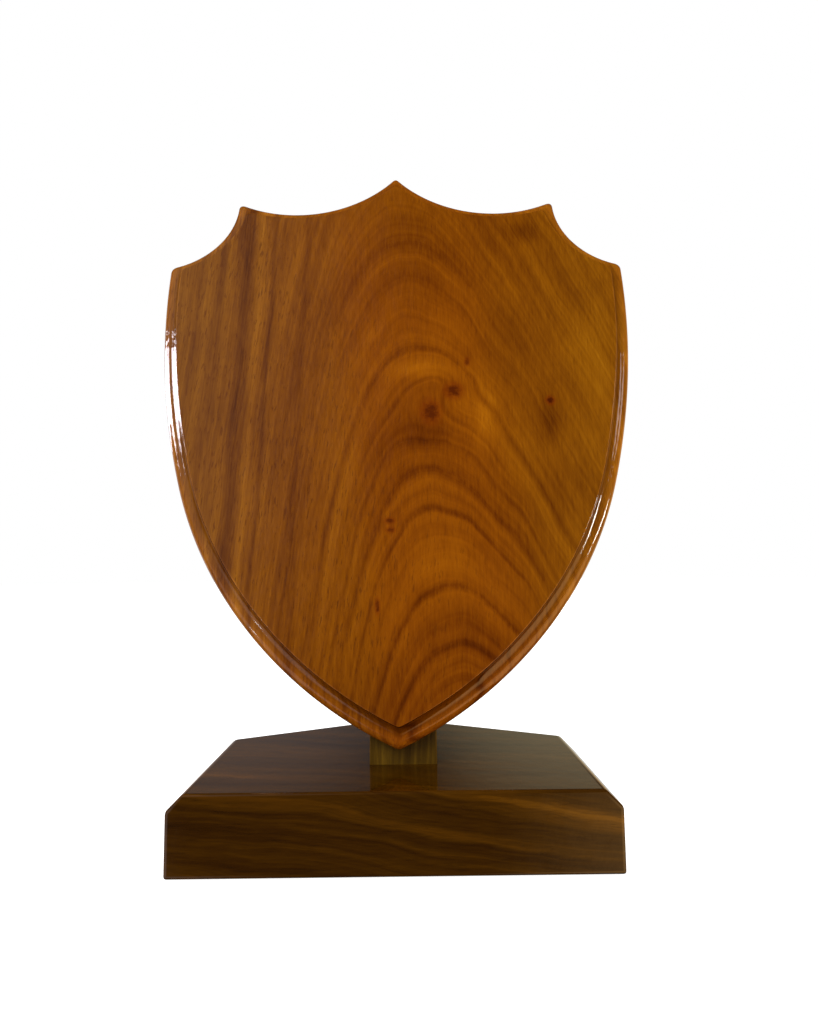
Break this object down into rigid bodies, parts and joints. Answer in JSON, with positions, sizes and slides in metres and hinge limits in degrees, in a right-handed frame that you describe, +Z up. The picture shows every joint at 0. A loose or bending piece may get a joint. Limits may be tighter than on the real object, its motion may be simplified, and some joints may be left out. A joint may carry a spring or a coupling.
{
  "type": "wooden shield plaque",
  "caption": "Free-standing wooden award shield with an ogee edge, leaning back on a post above a chamfered base with a pointed back.",
  "frame": {"origin": "on the surface that the plaque stands on, midway across the shield and midway between the base's front face and its back point", "axes": "+Z up, the shield faces -Y and leans back towards +Y, +X to the viewer's right"},
  "size_m": [0.2024, 0.112, 0.2791],
  "materials": {
    "shield_wood": "gloss lacquer over golden brown figured hardwood",
    "post_wood": "satin lacquer over olive brown hardwood",
    "base_wood": "gloss lacquer over dark brown hardwood",
    "screw_steel": "bright zinc",
    "pad_felt": "pressed wool felt"
  },
  "bodies": {
    "root": {"shield_panel": "shield_wood", "support_post": "post_wood", "base_block": "base_wood", "shield_screws": "screw_steel", "base_screws": "screw_steel", "felt_pads": "pad_felt"}
  },
  "joints": []
}
